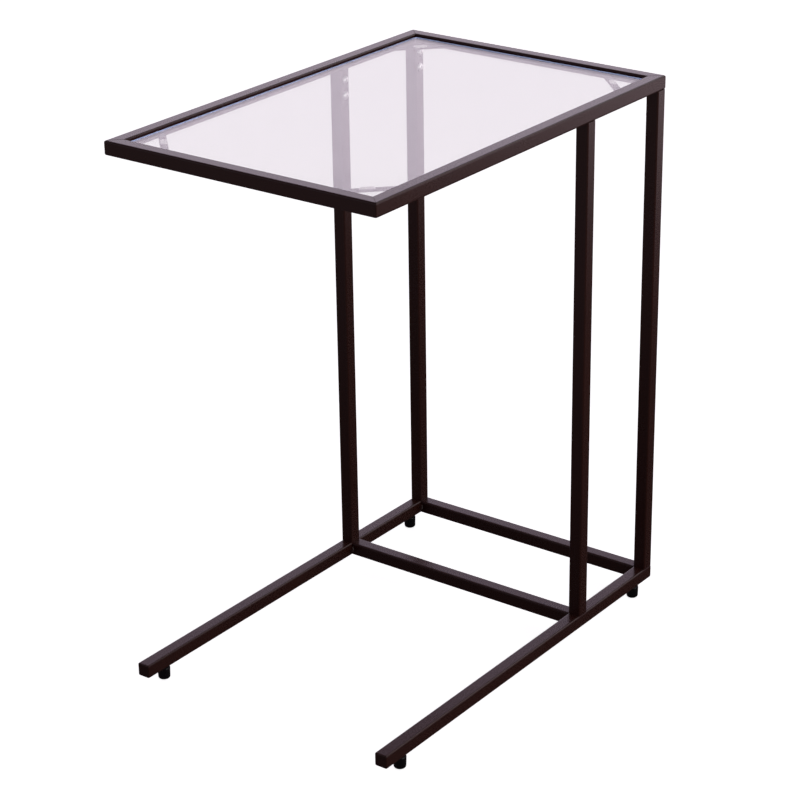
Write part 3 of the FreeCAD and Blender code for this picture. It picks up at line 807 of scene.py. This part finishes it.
def smooth_ramp(material, value, start, end, low, high):
    """Runs smoothly from low at start to high at end, and stays level beyond both."""
    ramp = add_node(material, "MapRange", {"interpolation_type": "SMOOTHSTEP"}, Value=value,
                    From_Min=start, From_Max=end, To_Min=low, To_Max=high)
    return ramp.outputs["Result"]


def pale_floor():
    """White to the eye, even grey through glass; in reflections bright far behind, dim close by."""
    paper = new_material("white_studio_paper")
    place = add_node(paper, "TexCoord").outputs["Object"]
    away = add_node(paper, "SeparateXYZ", Vector=place).outputs["Y"]
    behind = smooth_ramp(paper, away, 1.0, 3.0, 0.04, 1.1)
    before = smooth_ramp(paper, away, 0.0, -1.2, 0.0, 0.07)
    mirrored = arithmetic(paper, "ADD", behind, before)
    path = add_node(paper, "LightPath").outputs
    strength = add_node(paper, "Mix", Factor=path["Is Transmission Ray"], A=mirrored,
                        B=THROUGH_GLASS)
    lit = add_node(paper, "Emission", Strength=strength.outputs["Result"],
                   Color=blend(paper, path["Is Transmission Ray"], "#ffe9f4", "#ffffff"))
    white = add_node(paper, "Emission", Color=linear("#ffffff"), Strength=PAPER_GLOW)
    matt = add_node(paper, "BsdfDiffuse", Color=linear("#f4f4f4"))
    shown = add_node(paper, "AddShader", _0=white.outputs[0], _1=matt.outputs[0])
    surface = add_node(paper, "MixShader", _0=path["Is Camera Ray"], _1=lit.outputs[0],
                       _2=shown.outputs[0])
    set_surface(paper, surface)
    return paper


floor_mesh = bpy.data.meshes.new("studio_floor")
floor_corners = [(x * FLOOR_HALF, y * FLOOR_HALF, 0)
                 for x, y in ((-1, -1), (1, -1), (1, 1), (-1, 1))]
floor_mesh.from_pydata(floor_corners, [], [(0, 1, 2, 3)])
floor_mesh.materials.append(pale_floor())
studio_floor = bpy.data.objects.new("studio_floor", floor_mesh)
bpy.context.scene.collection.objects.link(studio_floor)
print("Floor:", 2 * FLOOR_HALF, "m square")

# %% [markdown]
# ## The lights
#
# The room is the main light: bands of brightness over its height, strongest low at the back.  A
# soft box on the right brings out the brown, and one high at the back lights the round edges.
# Small bright parts would drown in so dark a set, so the bolts, the bumpers and the edge of the
# glass each get a light of their own, flagged off the rest.

# %% Lights
SWEEP_BANDS = [
    (0.24, "#e9dcec"), (0.31, "#fcedff"), (0.35, "#eedff2"), (0.43, "#b09fb4"), (0.48, "#a090a5"),
    (0.53, "#544b57"), (0.62, "#4e4651"), (0.74, "#877c8a"), (0.85, "#8a808c"),
]
TABLE_MIDDLE, TABLE_TOP, LEFT_BOLTS = (0.0, 0.0, 0.35), (0.0, 0.0, 0.64), (-0.16, 0.19, 0.61)


def soft_light(name, place, target, size, power, only="", mirrored=True):
    """A rectangular soft light at a place, facing a target; sizes in metres, power in watts.

    With only set, flags keep the light off every piece whose name doesn't begin with its words; and
    a light that isn't mirrored shows in no reflection and not through the glass.
    """
    lamp = bpy.data.lights.new(name, "AREA")
    lamp.shape = "RECTANGLE"
    lamp.size, lamp.size_y = size
    lamp.energy = power
    light = bpy.data.objects.new(name, lamp)
    light.location = place
    light.rotation_euler = (Vector(target) - Vector(place)).to_track_quat("-Z", "Y").to_euler()
    light.visible_camera = False
    light.visible_glossy = light.visible_transmission = mirrored
    bpy.context.scene.collection.objects.link(light)
    if only:
        lit = bpy.data.collections.new("lit_by_" + name)
        for piece in bpy.data.objects:
            if piece.name.startswith(only):
                lit.objects.link(piece)
        light.light_linking.receiver_collection = lit


def studio_sweep():
    """The room: white to the camera; otherwise bright low at the back, dim above and in front."""
    room = bpy.data.worlds.new("studio_room")
    room.use_nodes = True
    room.node_tree.nodes.clear()
    place = add_node(room, "TexCoord").outputs["Generated"]
    direction = add_node(room, "SeparateXYZ", Vector=place)
    height = add_node(room, "ValToRGB", Fac=direction.outputs["Z"])
    ramp = height.color_ramp.elements
    for element, (position, colour) in zip(ramp, (SWEEP_BANDS[0], SWEEP_BANDS[-1])):
        element.position, element.color = position, linear(colour)
    for position, colour in SWEEP_BANDS[1:-1]:
        ramp.new(position).color = linear(colour)
    back = smooth_ramp(room, direction.outputs["Y"], -0.3, 0.5, 0.28, 1.5)
    left = smooth_ramp(room, direction.outputs["X"], -0.3, 0.4, 1.0, 0.3)
    sweep = add_node(room, "Background", Color=height.outputs["Color"],
                     Strength=arithmetic(room, "MULTIPLY", back, left))
    white = add_node(room, "Background", Color=linear("#ffffff"), Strength=1.0)
    path = add_node(room, "LightPath").outputs
    seen = add_node(room, "MixShader", _0=path["Is Camera Ray"], _1=sweep.outputs[0],
                    _2=white.outputs[0])
    output = room.node_tree.nodes.new("ShaderNodeOutputWorld")
    room.node_tree.links.new(seen.outputs[0], output.inputs["Surface"])
    return room


soft_light("right_soft_box", (3.0, 0.3, 1.5), TABLE_MIDDLE, (1.5, 1.5), 16.5)
soft_light("back_soft_box", (1.1, 3.3, 2.8), TABLE_MIDDLE, (2.2, 1.6), 12)
soft_light("bolt_light", (1.24, -0.19, 1.2), LEFT_BOLTS, (3.0, 2.0), 38, "button_head_bolts")
soft_light("bolt_bounce", (0.1, 1.3, 0.03), LEFT_BOLTS, (1.8, 1.4), 5, "button_head_bolts")
soft_light("bumper_light", (0.2, 0.2, 2.2), TABLE_TOP, (1.0, 1.0), 11, "clear_bumper",
           mirrored=False)
soft_light("edge_light", (1.5, -1.5, 2.0), TABLE_TOP, (1.0, 1.0), 75, "glass_sheet", mirrored=False)
bpy.context.scene.world = studio_sweep()
bpy.context.scene.view_settings.view_transform = "Standard"
print("Lights: a bright sweep, 2 soft boxes and 4 small lights")

# %% [markdown]
# ## Camera
#
# A long lens from about three metres keeps the tubes nearly parallel, as catalogue pictures do.
# The camera's place, its three turns and the shift of its lens were found by matching the straight
# edges of the frame.

# %% Camera
CAMERA_PLACE = Vector((1.5335, -2.0428, 1.4104))
CAMERA_TURN, CAMERA_TILT, CAMERA_ROLL = 0.614903, 0.415169, 0.00355
FOCAL_PIXELS, IMAGE_PIXELS = 2450.92, 800
RIGHT_OF_AXIS, BELOW_AXIS = 66.21, 15.92
SENSOR_WIDTH, CLIP_END = 36.0, 60.0


def aim_camera(place, turn, tilt, roll):
    """A camera looking along +Y, turned about Z, tilted down and rolled about its own axis."""
    forward = Vector((-math.sin(turn) * math.cos(tilt), math.cos(turn) * math.cos(tilt),
                      -math.sin(tilt)))
    right = forward.cross(Vector((0, 0, 1))).normalized()
    down = forward.cross(right)
    right_rolled = math.cos(roll) * right + math.sin(roll) * down
    down_rolled = -math.sin(roll) * right + math.cos(roll) * down
    data = bpy.data.cameras.new("studio_camera")
    data.sensor_width = SENSOR_WIDTH
    data.lens = FOCAL_PIXELS / IMAGE_PIXELS * SENSOR_WIDTH
    data.shift_x, data.shift_y = -RIGHT_OF_AXIS / IMAGE_PIXELS, BELOW_AXIS / IMAGE_PIXELS
    data.clip_end = CLIP_END
    camera = bpy.data.objects.new("studio_camera", data)
    axes = Matrix((right_rolled, -down_rolled, -forward)).transposed().to_4x4()
    camera.matrix_world = Matrix.Translation(place) @ axes
    bpy.context.scene.collection.objects.link(camera)
    return camera


bpy.context.scene.camera = aim_camera(CAMERA_PLACE, CAMERA_TURN, CAMERA_TILT, CAMERA_ROLL)
print("Lens:", round(bpy.context.scene.camera.data.lens, 1), "mm")
